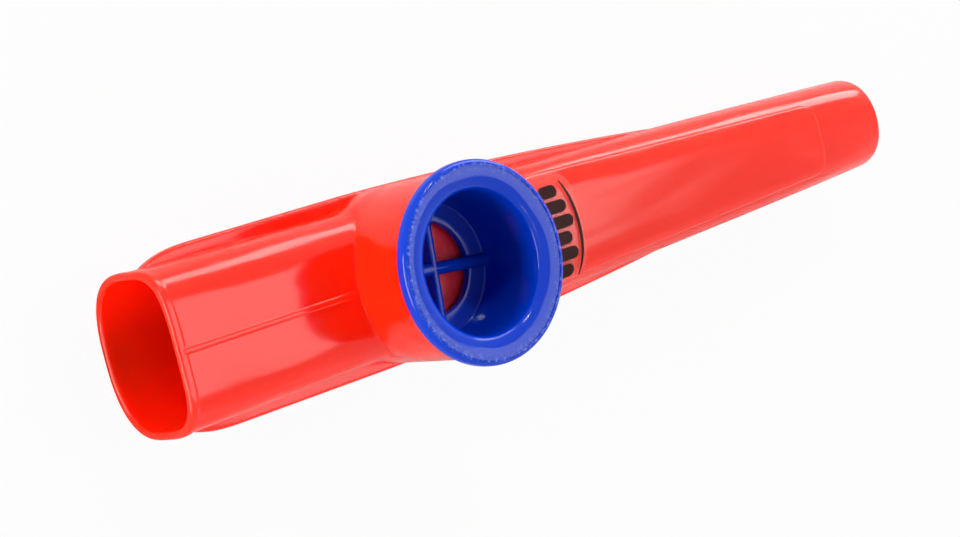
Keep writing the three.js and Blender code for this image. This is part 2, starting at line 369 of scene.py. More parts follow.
def blank_material(name: str) -> tuple[bpy.types.Material, bpy.types.NodeTree]:
    """New material with an empty node tree."""
    material = bpy.data.materials.new(name)
    material.use_nodes = True
    material.node_tree.nodes.clear()
    return material, material.node_tree


@dataclass(frozen=True)
class MouldedPlastic:
    """Injection-moulded thermoplastic, polished by its mould.

    The eye sees a deep clean colour, a mirror-like skin that ripples where the melt shrank, faint
    handling scuffs that break up the gloss, light that soaks into thin walls, and, if a wear and
    highlight colour is given, paler patches along the highest edge: rubbed wear together with a
    painted highlight on the crest.
    """

    name: str
    colour: str
    deep_colour: str
    roughness: float
    soak: float = 0.0
    soak_depth_mm: float = 1.0
    soak_colour: tuple[float, float, float] = (1.0, 0.12, 0.06)
    ripple_mm: float = 4.0
    ripple_strength: float = 0.16
    ripple_depth_mm: float = 2.0
    ripple_stretch: float = 0.16
    grain_mm: float = 0.35
    grain_strength: float = 0.03
    grain_depth_mm: float = 0.1
    scuff_mm: float = 2.2
    scuff_gloss: float = 0.16
    scuff_stretch: float = 0.22
    scuff_levels: tuple[float, float] = (0.5, 0.78)
    ior: float = 1.5
    gloss_level: float = 0.35
    # Paler patches by height along the highest edge: rubbed wear together with a painted highlight.
    wear_and_highlight_colour: str = ""
    wear_and_highlight_from_mm: float = 0.0
    wear_and_highlight_to_mm: float = 1.0
    wear_and_highlight_grain_mm: float = 0.5
    wear_and_highlight_levels: tuple[float, float] = (0.5, 0.68)
    wear_and_highlight_share: float = 0.75

    def worn_and_highlit(
        self, tree: bpy.types.NodeTree, place: bpy.types.NodeSocket, colour: bpy.types.NodeSocket
    ) -> bpy.types.NodeSocket:
        """Whitens the colour in patches along the highest edge: rubbed wear and a painted highlight.

        Args:
            tree: Node tree of the material.
            place: Object coordinates.
            colour: Colour of the plastic without its wear and painted highlight.

        Returns:
            The colour with its wear and painted highlight.
        """
        parts = add_node(tree, "ShaderNodeSeparateXYZ", {0: place})
        # Painted highlight and real wear: a paler band at the very top, chosen by height.
        crest = add_node(
            tree,
            "ShaderNodeMapRange",
            {
                "Value": parts.outputs["Z"],
                "From Min": self.wear_and_highlight_from_mm * MM,
                "From Max": self.wear_and_highlight_to_mm * MM,
            },
            interpolation_type="SMOOTHSTEP",
        )
        rub_and_glint_noise = add_node(
            tree,
            "ShaderNodeTexNoise",
            {"Vector": place, "Scale": 1 / (self.wear_and_highlight_grain_mm * MM), "Detail": 4.0, "Roughness": 0.7},
        )
        patchy = add_node(
            tree,
            "ShaderNodeMapRange",
            {
                "Value": rub_and_glint_noise.outputs["Fac"],
                "From Min": self.wear_and_highlight_levels[0],
                "From Max": self.wear_and_highlight_levels[1],
                "To Max": self.wear_and_highlight_share,
            },
        )
        share = add_node(
            tree, "ShaderNodeMath", {0: crest.outputs[0], 1: patchy.outputs[0]}, operation="MULTIPLY"
        )
        mixed = add_node(
            tree,
            "ShaderNodeMix",
            {0: share.outputs[0], 6: colour, 7: linear(self.wear_and_highlight_colour)},
            data_type="RGBA",
        )
        return mixed.outputs[2]

    def material(self) -> bpy.types.Material:
        """Builds the material."""
        material, tree = blank_material(self.name)
        place = add_node(tree, "ShaderNodeTexCoord").outputs["Object"]
        flow = add_node(
            tree,
            "ShaderNodeTexNoise",
            {"Vector": place, "Scale": 1 / (self.ripple_mm * 5 * MM), "Detail": 2.0},
        )
        tint = add_node(
            tree,
            "ShaderNodeMix",
            {0: flow.outputs["Fac"], 6: linear(self.colour), 7: linear(self.deep_colour)},
            data_type="RGBA",
        )
        # Paler band on the highest edge: wear and painted highlight together.
        colour = self.worn_and_highlit(tree, place, tint.outputs[2]) if self.wear_and_highlight_colour else tint.outputs[2]
        stretched = add_node(
            tree, "ShaderNodeMapping", {"Vector": place, "Scale": (self.scuff_stretch, 1.0, 1.0)}
        )
        scuffs = add_node(
            tree,
            "ShaderNodeTexNoise",
            {
                "Vector": stretched.outputs[0],
                "Scale": 1 / (self.scuff_mm * MM),
                "Detail": 6.0,
                "Roughness": 0.7,
            },
        )
        gloss = add_node(
            tree,
            "ShaderNodeMapRange",
            {
                "Value": scuffs.outputs["Fac"],
                "From Min": self.scuff_levels[0],
                "From Max": self.scuff_levels[1],
                "To Min": self.roughness,
                "To Max": self.roughness + self.scuff_gloss,
            },
        )
        long_way = add_node(
            tree, "ShaderNodeMapping", {"Vector": place, "Scale": (self.ripple_stretch, 1.0, 1.0)}
        )
        ripple = add_node(
            tree,
            "ShaderNodeTexNoise",
            {"Vector": long_way.outputs[0], "Scale": 1 / (self.ripple_mm * MM), "Detail": 1.0},
        )
        grain = add_node(
            tree,
            "ShaderNodeTexNoise",
            {"Vector": place, "Scale": 1 / (self.grain_mm * MM), "Detail": 3.0},
        )
        waves = add_node(
            tree,
            "ShaderNodeBump",
            {
                "Strength": self.ripple_strength,
                "Distance": self.ripple_depth_mm * MM,
                "Height": ripple.outputs["Fac"],
            },
        )
        skin = add_node(
            tree,
            "ShaderNodeBump",
            {
                "Strength": self.grain_strength,
                "Distance": self.grain_depth_mm * MM,
                "Height": grain.outputs["Fac"],
                "Normal": waves.outputs[0],
            },
        )
        shader = add_node(
            tree,
            "ShaderNodeBsdfPrincipled",
            {
                "Base Color": colour,
                "Roughness": gloss.outputs[0],
                "IOR": self.ior,
                "Specular IOR Level": self.gloss_level,
                "Normal": skin.outputs[0],
                "Subsurface Weight": self.soak,
                "Subsurface Radius": self.soak_colour,
                "Subsurface Scale": self.soak_depth_mm * MM,
            },
        )
        add_node(tree, "ShaderNodeOutputMaterial", {"Surface": shader.outputs[0]})
        return material


@dataclass(frozen=True)
class PrintedInk:
    """Screen-printed ink.

    The eye sees a flat dark brown, satin, with small thin spots where the mesh left less ink.
    """

    name: str = "screen_printed_brown_ink"
    colour: str = "#1C0504"
    thin_colour: str = "#340A08"
    spot_mm: float = 0.3
    roughness: float = 0.5
    gloss_level: float = 0.1

    def material(self) -> bpy.types.Material:
        """Builds the material."""
        material, tree = blank_material(self.name)
        place = add_node(tree, "ShaderNodeTexCoord").outputs["Object"]
        spots = add_node(
            tree,
            "ShaderNodeTexNoise",
            {"Vector": place, "Scale": 1 / (self.spot_mm * MM), "Detail": 4.0},
        )
        tint = add_node(
            tree,
            "ShaderNodeMix",
            {0: spots.outputs["Fac"], 6: linear(self.colour), 7: linear(self.thin_colour)},
            data_type="RGBA",
        )
        bump = add_node(
            tree,
            "ShaderNodeBump",
            {"Strength": 0.1, "Distance": 0.02 * MM, "Height": spots.outputs["Fac"]},
        )
        shader = add_node(
            tree,
            "ShaderNodeBsdfPrincipled",
            {
                "Base Color": tint.outputs[2],
                "Roughness": self.roughness,
                "Specular IOR Level": self.gloss_level,
                "Normal": bump.outputs[0],
            },
        )
        add_node(tree, "ShaderNodeOutputMaterial", {"Surface": shader.outputs[0]})
        return material


@dataclass(frozen=True)
class PlasticFilm:
    """Thin plastic film, cast or blown.

    The eye sees what lies under it as far as its cover lets through, a veil that is denser in
    patches, and a gloss that tiny bubbles or crinkles break up.
    """

    name: str
    colour: str
    roughness: float
    ior: float
    cover: tuple[float, float]
    patch_mm: float
    patch_detail: float
    patch_twist: float
    patch_levels: tuple[float, float]
    relief_strength: float
    relief_mm: float

    def material(self) -> bpy.types.Material:
        """Builds the material."""
        material, tree = blank_material(self.name)
        place = add_node(tree, "ShaderNodeTexCoord").outputs["Object"]
        veil = add_node(
            tree,
            "ShaderNodeTexNoise",
            {
                "Vector": place,
                "Scale": 1 / (self.patch_mm * MM),
                "Detail": self.patch_detail,
                "Distortion": self.patch_twist,
            },
        )
        cover = add_node(
            tree,
            "ShaderNodeMapRange",
            {
                "Value": veil.outputs["Fac"],
                "From Min": self.patch_levels[0],
                "From Max": self.patch_levels[1],
                "To Min": self.cover[0],
                "To Max": self.cover[1],
            },
        )
        bump = add_node(
            tree,
            "ShaderNodeBump",
            {
                "Strength": self.relief_strength,
                "Distance": self.relief_mm * MM,
                "Height": veil.outputs["Fac"],
            },
        )
        shader = add_node(
            tree,
            "ShaderNodeBsdfPrincipled",
            {
                "Base Color": linear(self.colour),
                "Roughness": self.roughness,
                "IOR": self.ior,
                "Alpha": cover.outputs[0],
                "Normal": bump.outputs[0],
            },
        )
        add_node(tree, "ShaderNodeOutputMaterial", {"Surface": shader.outputs[0]})
        return material


# ---- body -----------------------------------------------------------------------------------


@dataclass(frozen=True)
class Section:
    """Sizes of the body's cross-section at one place."""

    half_width: float
    upper: float
    lower: float
    upper_exponent: float
    lower_exponent: float
    mid_height: float


@dataclass(frozen=True)
class BodyForm:
    """Law that shapes the body's skin from the mouthpiece to the outlet."""

    length: float = 120.0
    mouth_half_width: float = 9.1
    mouth_upper: float = 7.8
    mouth_lower: float = 7.3
    mouth_upper_exponent: float = 3.8
    mouth_lower_exponent: float = 2.5
    outlet_radius: float = 6.2
    exponent_fade: float = 0.35
    side_bulge: float = 0.35
    underside_trim: float = 0.15

    @property
    def mouth_x(self) -> float:
        """Place of the mouthpiece's end."""
        return -self.length / 2

    @property
    def outlet_x(self) -> float:
        """Place of the outlet's end."""
        return self.length / 2

    def section(self, x: float) -> Section:
        """Cross-section at x."""
        t = min(1.0, max(0.0, (x - self.mouth_x) / self.length))
        fade = (1 - t) ** self.exponent_fade
        lower = lerp(self.mouth_lower, self.outlet_radius, t)
        bulge = self.side_bulge * 4 * t * (1 - t)
        return Section(
            half_width=lerp(self.mouth_half_width, self.outlet_radius, t) + bulge,
            upper=lerp(self.mouth_upper, self.outlet_radius, t),
            lower=lower,
            upper_exponent=lerp(2.0, self.mouth_upper_exponent, fade),
            lower_exponent=lerp(2.0, self.mouth_lower_exponent, fade),
            mid_height=lower - self.underside_trim,
        )

    def around(self, x: float, angle: float, offset: float) -> tuple[float, float]:
        """Point of the skin at x.

        Args:
            x: Place along the body.
            angle: Angle around the section, from +Y towards +Z.
            offset: How far the skin is grown there.

        Returns:
            Place across and height.
        """
        section = self.section(x)
        cos, sin = math.cos(angle), math.sin(angle)
        exponent = section.upper_exponent if sin > 0 else section.lower_exponent
        height = (section.upper if sin > 0 else section.lower) + offset
        spread = (abs(cos) ** exponent + abs(sin) ** exponent) ** (-1 / exponent)
        return (section.half_width + offset) * spread * cos, section.mid_height + height * spread * sin

    def top(self, x: float, y: float, offset: float = 0.0) -> float:
        """Height of the skin's upper side at x and y, grown by an offset."""
        section = self.section(x)
        share = min(1.0, abs(y) / (section.half_width + offset))
        exponent = section.upper_exponent
        return section.mid_height + (section.upper + offset) * (1 - share**exponent) ** (1 / exponent)

    def clearance(self, y: float, z: float, x: float) -> tuple[float, float, float]:
        """How far a point lies outside the skin.

        Args:
            y: Place across.
            z: Height.
            x: Place along the body.

        Returns:
            Distance, and the skin's outward direction across and up.
        """
        section = self.section(x)
        up = z - section.mid_height
        reach = section.upper if up > 0 else section.lower
        exponent = section.upper_exponent if up > 0 else section.lower_exponent
        a, b = abs(y) / section.half_width, abs(up) / reach
        total = max(1e-6, a**exponent + b**exponent)
        level = total ** (1 / exponent)
        slope = total ** (1 / exponent - 1)
        out_y = slope * a ** (exponent - 1) / section.half_width * (1 if y > 0 else -1)
        out_z = slope * b ** (exponent - 1) / reach * (1 if up > 0 else -1)
        steep = max(1e-6, math.hypot(out_y, out_z))
        return (level - 1) / steep, out_y / steep, out_z / steep


@dataclass(frozen=True)
class Fillet:
    """Hollow rounding where the turret meets the body, broader down the sides than on the deck."""

    deck_size: float = 0.4
    side_size: float = 1.4
    side_height: float = 8.5
    deck_height: float = 13.6

    def size(self, z: float) -> float:
        """Size of the rounding at a height."""
        share = (z - self.side_height) / (self.deck_height - self.side_height)
        return lerp(self.side_size, self.deck_size, eased(share))

    def swell(self, distance: float, likeness: float, z: float) -> float:
        """How far a surface swells near the other one.

        Args:
            distance: How far the point lies outside the other surface.
            likeness: Cosine of the angle between the two surfaces' directions.
            z: Height of the point.

        Returns:
            The outward move.
        """
        size = self.size(z)
        near = size - distance
        spread = max(0.05, 1 - likeness)
        if near <= 0:
            return 0.0
        if distance <= size / 4 * spread:
            return size / 4
        inside = max(0.0, size * (size - near * spread))
        return min(size / 4, ((2 * size - near * spread) - 2 * math.sqrt(inside)) / spread**2)


@dataclass(frozen=True)
class KazooBody:
    """Red moulding: air channel, lip, fins, deck rib, panel, turret and the seat inside it."""

    form: BodyForm = BodyForm()
    finish: MouldedPlastic = MouldedPlastic(
        name="injection_moulded_red_polystyrene",
        colour="#FF2508",
        deep_colour="#FF1F05",
        roughness=0.13,
        soak=1.0,
        soak_depth_mm=3.5,
        ripple_strength=0.2,
    )
    fillet: Fillet = Fillet()
    wall: float = 1.2
    around: int = 176
    coarse_step: float = 1.6
    fine_step: float = 0.32
    fine_reach: float = 13.5
    lip_width: float = 1.1
    lip_proud: float = 0.12
    lip_step: float = 0.14
    lip_edge: float = 0.4
    lip_wall: float = 0.8
    outlet_edge: float = 0.3
    outlet_flare: float = 0.2
    turret_from_mouth: float = 35.3
    turret_top_radius: float = 10.6
    turret_draft: float = 0.4
    turret_height: float = 22.6
    turret_wall: float = 1.4
    turret_edge: float = 0.3
    turret_foot: float = 4.4
    turret_foot_round: float = 0.5
    swell_bottom: float = 5.4
    swell_top: float = 16.4
    swell_depth: float = 9.0
    seat_depth: float = 1.85
    seat_thickness: float = 1.2
    seat_ledge: float = 2.9
    fin_reach: float = 1.3
    fin_thickness: float = 1.6
    fin_mid_height: float = 6.4
    fin_start: float = 2.6
    fin_shoulder: float = 11.5
    fin_taper_start: float = 32.0
    fin_end: float = 84.0
    fin_edge: float = 0.45
    fin_root_depth: float = 0.5
    fin_end_depth: float = 0.12
    fin_nose_exponent: float = 3.2
    fin_straight_share: float = 0.25
    fin_taper_exponent: float = 1.9
    fin_thin_run: float = 12.0
    rib_half_width: float = 0.42
    rib_height: float = 0.2
    rib_sink: float = 0.06
    panel_height: float = 0.3
    panel_turret_margin: float = 0.95
    panel_far_margin: float = 1.85
    panel_outlet_gap: float = 12.7
    panel_corner: float = 1.7

    @property
    def turret_x(self) -> float:
        """Place of the turret's axis."""
        return self.form.mouth_x + self.turret_from_mouth

    @property
    def bore_radius(self) -> float:
        """Radius of the turret's bore."""
        return self.turret_top_radius - self.turret_wall

    @property
    def deck_at_turret(self) -> float:
        """Height of the deck's middle line at the turret's axis."""
        return self.form.top(self.turret_x, 0)

    @property
    def seat_height(self) -> float:
        """Height of the ledge that the membrane sits on."""
        return self.deck_at_turret - self.seat_depth

    def turret_radius(self, z: float) -> float:
        """Radius of the turret's outside at a height."""
        share = (z - self.turret_foot) / (self.turret_height - self.turret_foot)
        return lerp(self.turret_top_radius - self.turret_draft, self.turret_top_radius, share)

    def panel_half_width(self, x: float) -> float:
        """Half-width of the raised panel at x."""
        far = self.form.outlet_x - self.panel_outlet_gap
        near_half = self.form.section(self.turret_x).half_width - self.panel_turret_margin
        far_half = self.form.section(far).half_width - self.panel_far_margin
        return lerp(near_half, far_half, (x - self.turret_x) / (far - self.turret_x))

    def outer_stations(self) -> list[tuple[float, float]]:
        """Place and offset of each ring of the outer skin."""
        mouth, outlet = self.form.mouth_x, self.form.outlet_x
        lip, end = self.lip_edge, self.outlet_edge
        nose = arc((lip, self.lip_proud - lip), (lip, lip), 180, 90, 6)
        tail = arc((end, -end), (end, end), 90, 180, 4)
        foot = mouth + self.lip_width
        near, far = self.turret_x - self.fine_reach, self.turret_x + self.fine_reach
        runs = (
            spaced(foot + 0.3, near, self.coarse_step)[:-1]
            + spaced(near, far, self.fine_step)[:-1]
            + spaced(far, outlet - 2 * end, self.coarse_step)
        )
        return [
            *[(mouth + run, offset) for run, offset in nose],
            (foot - self.lip_step * 1.6, self.lip_proud),
            (foot - self.lip_step, self.lip_proud * 0.85),
            (foot - self.lip_step * 0.4, self.lip_proud * 0.2),
            (foot, 0.0),
            *[(x, 0.0) for x in runs],
            *[(outlet - run, offset) for run, offset in tail],
        ]

    def outer_skin(self) -> bmesh.types.BMesh:
        """Outer shape of the tube, swelling into the turret."""
        stations = self.outer_stations()

        def place(number: int, angle: float) -> tuple[float, float, float]:
            x, offset = stations[number]
            y, z = self.form.around(x, angle, offset)
            gap = math.hypot(x - self.turret_x, y) - self.turret_radius(z)
            if -self.swell_depth < gap < self.fillet.side_size and z > self.swell_bottom:
                _, out_y, out_z = self.form.clearance(y, z, x)
                toward = y / max(1e-6, math.hypot(x - self.turret_x, y))
                move = self.fillet.swell(gap, out_y * toward, z)
                y, z = y + out_y * move, z + out_z * move
            return x, y, max(0.0, z)

        return drawn(len(stations), self.around, place)

    def channel(self) -> bmesh.types.BMesh:
        """Air channel from end to end, flared at the lip."""
        mouth, outlet = self.form.mouth_x, self.form.outlet_x
        flare = [
            (mouth + dx, -self.lip_wall + self.lip_edge - off)
            for dx, off in arc((self.lip_edge, 0), (self.lip_edge, self.lip_edge), 180, 90, 5)
        ]
        inner = [(x, -self.wall) for x in spaced(mouth + 3 * self.lip_width, outlet - 0.6, 2.0)]
        flared = self.outlet_flare - self.wall
        out = [(outlet - 0.25, 0.02 - self.wall), (outlet, flared), (outlet + OVERSHOOT, flared)]
        stations = [(mouth - OVERSHOOT, flare[0][1]), *flare, *inner, *out]

        def place(number: int, angle: float) -> tuple[float, float, float]:
            x, offset = stations[number]
            y, z = self.form.around(x, angle, offset)
            return x, y, z

        return drawn(len(stations), 128, place)

    def fin_half_width(self, x: float) -> float:
        """Half-width of the fins' plate at x."""
        full = self.form.mouth_half_width + self.fin_reach
        start = self.form.mouth_x + self.fin_start
        shoulder = self.form.mouth_x + self.fin_shoulder
        taper = self.form.mouth_x + self.fin_taper_start
        end = self.form.mouth_x + self.fin_end
        if x < shoulder:
            root = self.form.mouth_half_width - self.fin_root_depth
            share = (x - start) / (shoulder - start)
            return lerp(root, full, 1 - (1 - share) ** self.fin_nose_exponent)
        if x < taper:
            return full
        share = (x - taper) / (end - taper)
        straight = self.fin_straight_share
        drawn_in = straight * share + (1 - straight) * share**self.fin_taper_exponent
        return lerp(full, self.form.section(end).half_width - self.fin_end_depth, drawn_in)

    def fins(self) -> bmesh.types.BMesh:
        """Plate whose rounded edges show as the two side fins."""
        start = self.form.mouth_x + self.fin_start
        end = self.form.mouth_x + self.fin_end
        near = spaced(start, start + 9, 0.4)
        places = near[:-1] + spaced(near[-1], end - 2, 1.0) + [end - 1, end - 0.4, end]
        half = self.fin_thickness / 2

        def place(number: int, angle: float) -> tuple[float, float, float]:
            x = places[number]
            thin = half * eased(0.4 + (end - x) / self.fin_thin_run)
            edge = min(self.fin_edge, thin * 0.9)
            width = self.fin_half_width(x) - edge
            cos, sin = math.cos(angle), math.sin(angle)
            y = math.copysign(width, cos) + edge * cos
            z = self.fin_mid_height + math.copysign(thin - edge, sin) + edge * sin
            return x, y, z

        return drawn(len(places), 48, place)

    def rib(self) -> bmesh.types.BMesh:
        """Raised rounded line down the middle of the deck."""
        start = self.form.mouth_x + self.lip_width * 0.45
        sink = self.rib_sink
        patch = Patch(
            columns=[start, start + 0.05, start + 0.12, start + 0.25, start + 0.45]
            + spaced(start + 0.8, self.turret_x - self.bore_radius + 0.5, 1.2),
            half_width=lambda x: self.rib_half_width,
            edge=self.rib_half_width * 0.98,
            cells_across=2,
            edge_steps=6,
        )
        return patch.solid(
            lambda x, y, full: self.form.top(x, y) - sink + (self.rib_height + sink) * full,
            lambda x, y: self.form.top(x, y) - self.wall / 2,
        )

    def panel(self) -> bmesh.types.BMesh:
        """Raised panel on the far half of the deck."""
        start, far = self.turret_x + 2, self.form.outlet_x - self.panel_outlet_gap
        corner = self.panel_corner
        turn = [far - corner * (1 - math.cos(math.pi / 2 * i / 9)) for i in range(10)]
        patch = Patch(
            columns=spaced(start, far - corner - 0.4, 1.1) + list(reversed(turn)),
            half_width=lambda x: self.panel_half_width(x) - corner_inset(x, start - 20, far, corner),
            edge=0.34,
            cells_across=24,
        )
        return patch.solid(
            lambda x, y, full: self.form.top(x, y, -0.05 + (self.panel_height + 0.05) * full),
            lambda x, y: self.form.top(x, y) - self.wall / 2,
        )

    def turret(self) -> bmesh.types.BMesh:
        """Turret before it is bored, swelling into the body."""
        foot, foot_round = self.turret_foot, self.turret_foot_round
        edge, top = self.turret_edge, self.turret_height
        radius = self.turret_radius
        base = arc((radius(foot) - foot_round, foot + foot_round), (foot_round, foot_round), -90, 0, 4)
        swelling = spaced(foot + foot_round + 0.25, self.swell_top - 0.4, 0.22)
        plain = spaced(self.swell_top + 0.1, top - 2 * edge, 0.9)
        sides = [(radius(z), z) for z in swelling + plain]
        crown = arc((self.turret_top_radius - edge, top - edge), (edge, edge), 0, 90, 6)
        bm = turned([(0, foot), *base, *sides, *crown, (0, top)], 0.0, 224)
        for vert in bm.verts:
            reach = math.hypot(vert.co.x, vert.co.y)
            if reach < self.turret_top_radius - 1 or not self.swell_bottom < vert.co.z < self.swell_top:
                continue
            x = vert.co.x + self.turret_x
            distance, out_y, _ = self.form.clearance(vert.co.y, vert.co.z, x)
            move = self.fillet.swell(distance, out_y * vert.co.y / reach, vert.co.z)
            vert.co.x *= 1 + move / reach
            vert.co.y *= 1 + move / reach
        bmesh.ops.translate(bm, vec=(self.turret_x, 0, 0), verts=bm.verts)
        return bm

    def seat_cup(self) -> bmesh.types.BMesh:
        """Cup that hangs from the channel's roof and carries the membrane's seat."""
        low = self.seat_height - self.seat_thickness
        reach = self.bore_radius + self.wall / 2
        high = self.deck_at_turret - 0.3
        edge = arc((reach - 0.4, low + 0.4), (0.4, 0.4), -90, 0, 4)
        return turned([(0, low), *edge, (reach, high), (0, high)], self.turret_x)

    def turret_bore(self) -> bmesh.types.BMesh:
        """Bore of the turret above the seat, with the hole through the seat."""
        low = self.seat_height - self.seat_thickness - OVERSHOOT
        seat, bore, top = self.seat_height, self.bore_radius, self.turret_height
        hole = bore - self.seat_ledge
        return turned(
            [
                (0, low),
                (hole, low),
                (hole, seat - 0.15),
                (hole + 0.15, seat),
                (bore - 0.2, seat),
                (bore, seat + 0.2),
                (bore, top - 0.25),
                (bore + 0.07, top - 0.09),
                (bore + 0.25, top + 0.02),
                (bore + 0.25, top + OVERSHOOT),
                (0, top + OVERSHOOT),
            ],
            self.turret_x,
        )

    def build(self) -> bpy.types.Object:
        """Builds and dresses the moulding."""
        bm = carved(
            "body_work",
            self.outer_skin(),
            [
                (Cut.JOIN, self.fins()),
                (Cut.JOIN, self.panel()),
                (Cut.JOIN, self.rib()),
                (Cut.JOIN, self.turret()),
                (Cut.REMOVE, self.channel()),
                (Cut.JOIN, self.seat_cup()),
                (Cut.REMOVE, self.turret_bore()),
            ],
        )
        return finished("kazoo_body", bm, Carrier.BODY, self.finish.material(), "body")


# ---- label ----------------------------------------------------------------------------------


@dataclass(frozen=True)
class Sticker:
    """Clear sticker on the raised panel, with a generic print of level bars and an arc."""

    body: KazooBody
    # Cast vinyl: nearly clear, so that the plastic shows through it under a sharper gloss.
    film: PlasticFilm = PlasticFilm(
        name="clear_cast_sticker_film",
        colour="#FFC8BC",
        roughness=0.07,
        ior=1.46,
        cover=(0.035, 0.0525),
        patch_mm=0.9,
        patch_detail=3.0,
        patch_twist=0.0,
        patch_levels=(0.35, 0.75),
        relief_strength=0.08,
        relief_mm=0.2,
    )
    ink: PrintedInk = PrintedInk()
    thickness: float = 0.15
    gap: float = 0.1
    turret_gap: float = 2.6
    length: float = 11.5
    side_inset: float = 0.4
    corner: float = 3.0
    ink_thickness: float = 0.02
    ink_gap: float = 0.004
    print_shift: float = -0.6
    bar_half_width: float = 0.76
    bar_pitch: float = 1.95
    bar_lengths: tuple[float, ...] = (3.0, 5.2, 4.2, 5.8, 4.6, 3.0)
    bar_middle: float = 4.2
    arc_half_width: float = 0.24
    arc_sag: float = 1.3
    arc_inset: float = 0.55

    @property
    def start(self) -> float:
        """Place of the sticker's end at the turret."""
        return self.body.turret_x + self.body.turret_top_radius + self.turret_gap

    @property
    def end(self) -> float:
        """Place of the sticker's far end."""
        return self.start + self.length

    @property
    def under(self) -> float:
        """Height of the sticker's underside above the body's skin."""
        return self.body.panel_height + self.gap

    @property
    def ink_height(self) -> float:
        """Height of the print's underside above the body's skin."""
        return self.under + self.thickness + self.ink_gap

    def build_film(self) -> bpy.types.Object:
        """Builds the clear film."""
        half = self.body.panel_half_width(self.start) - self.side_inset
        form = self.body.form
        patch = Patch(
            columns=ends_rounded(self.start, self.end, self.corner, 0.6),
            half_width=lambda x: half - corner_inset(x, self.start, self.end, self.corner),
            edge=0.08,
            cells_across=28,
            edge_steps=3,
        )
        bm = patch.solid(
            lambda x, y, full: form.top(x, y, self.under + self.thickness * (0.4 + 0.6 * full)),
            lambda x, y: form.top(x, y, self.under),
        )
        return finished("sticker_film", bm, Carrier.BODY, self.film.material(), "label")

    def bar(self, left: float, right: float, centre: float) -> bmesh.types.BMesh:
        """One printed bar with round ends.

        Args:
            left: Place of its first end along the kazoo.
            right: Place of its other end.
            centre: Its middle across the kazoo.

        Returns:
            The bar as a very thin solid.
        """
        form, radius = self.body.form, self.bar_half_width
        patch = Patch(
            columns=ends_rounded(left, right, radius, 0.5),
            half_width=lambda x: radius - corner_inset(x, left, right, radius),
            centre_y=centre,
            edge=0.03,
            cells_across=6,
            edge_steps=2,
        )
        return patch.solid(
            lambda x, y, full: form.top(x, y, self.ink_height + self.ink_thickness * (0.3 + 0.7 * full)),
            lambda x, y: form.top(x, y, self.ink_height),
        )

    def build_print(self) -> bpy.types.Object:
        """Builds the printed bars and their arc as one piece."""
        marks = []
        count = len(self.bar_lengths)
        for number, length in enumerate(self.bar_lengths):
            left = self.end - self.bar_middle - length / 2
            centre = (number - (count - 1) / 2) * self.bar_pitch + self.print_shift
            marks.append(self.bar(left, left + length, centre))
        bm = merged([*marks, self.swoosh()])
        return finished("sticker_print", bm, Carrier.BODY, self.ink.material())

    def swoosh(self) -> bmesh.types.BMesh:
        """Arc beside the bars, widest at its middle."""
        form = self.body.form
        reach = self.bar_pitch * (len(self.bar_lengths) - 1) / 2 + 1.0
        bm = bmesh.new()
        bmesh.ops.create_grid(bm, x_segments=4, y_segments=40, size=0.5)
        grown = bmesh.ops.extrude_face_region(bm, geom=bm.faces[:])["geom"]
        upper = {item for item in grown if isinstance(item, bmesh.types.BMVert)}
        for vert in bm.verts:
            share = vert.co.y * 2
            width = self.arc_half_width * (0.25 + 0.75 * math.sqrt(max(0.0, 1 - share * share)))
            x = self.end - self.arc_inset - self.arc_sag * share * share + vert.co.x * 2 * width
            y = share * reach + self.print_shift
            offset = self.ink_height + (self.ink_thickness if vert in upper else 0.0)
            vert.co = (x, y, form.top(x, y, offset))
        bmesh.ops.recalc_face_normals(bm, faces=bm.faces)
        return bm

    def build(self) -> None:
        """Builds and dresses the sticker."""
        self.build_film()
        self.build_print()


# ---- membrane and cap -------------------------------------------------------------------------


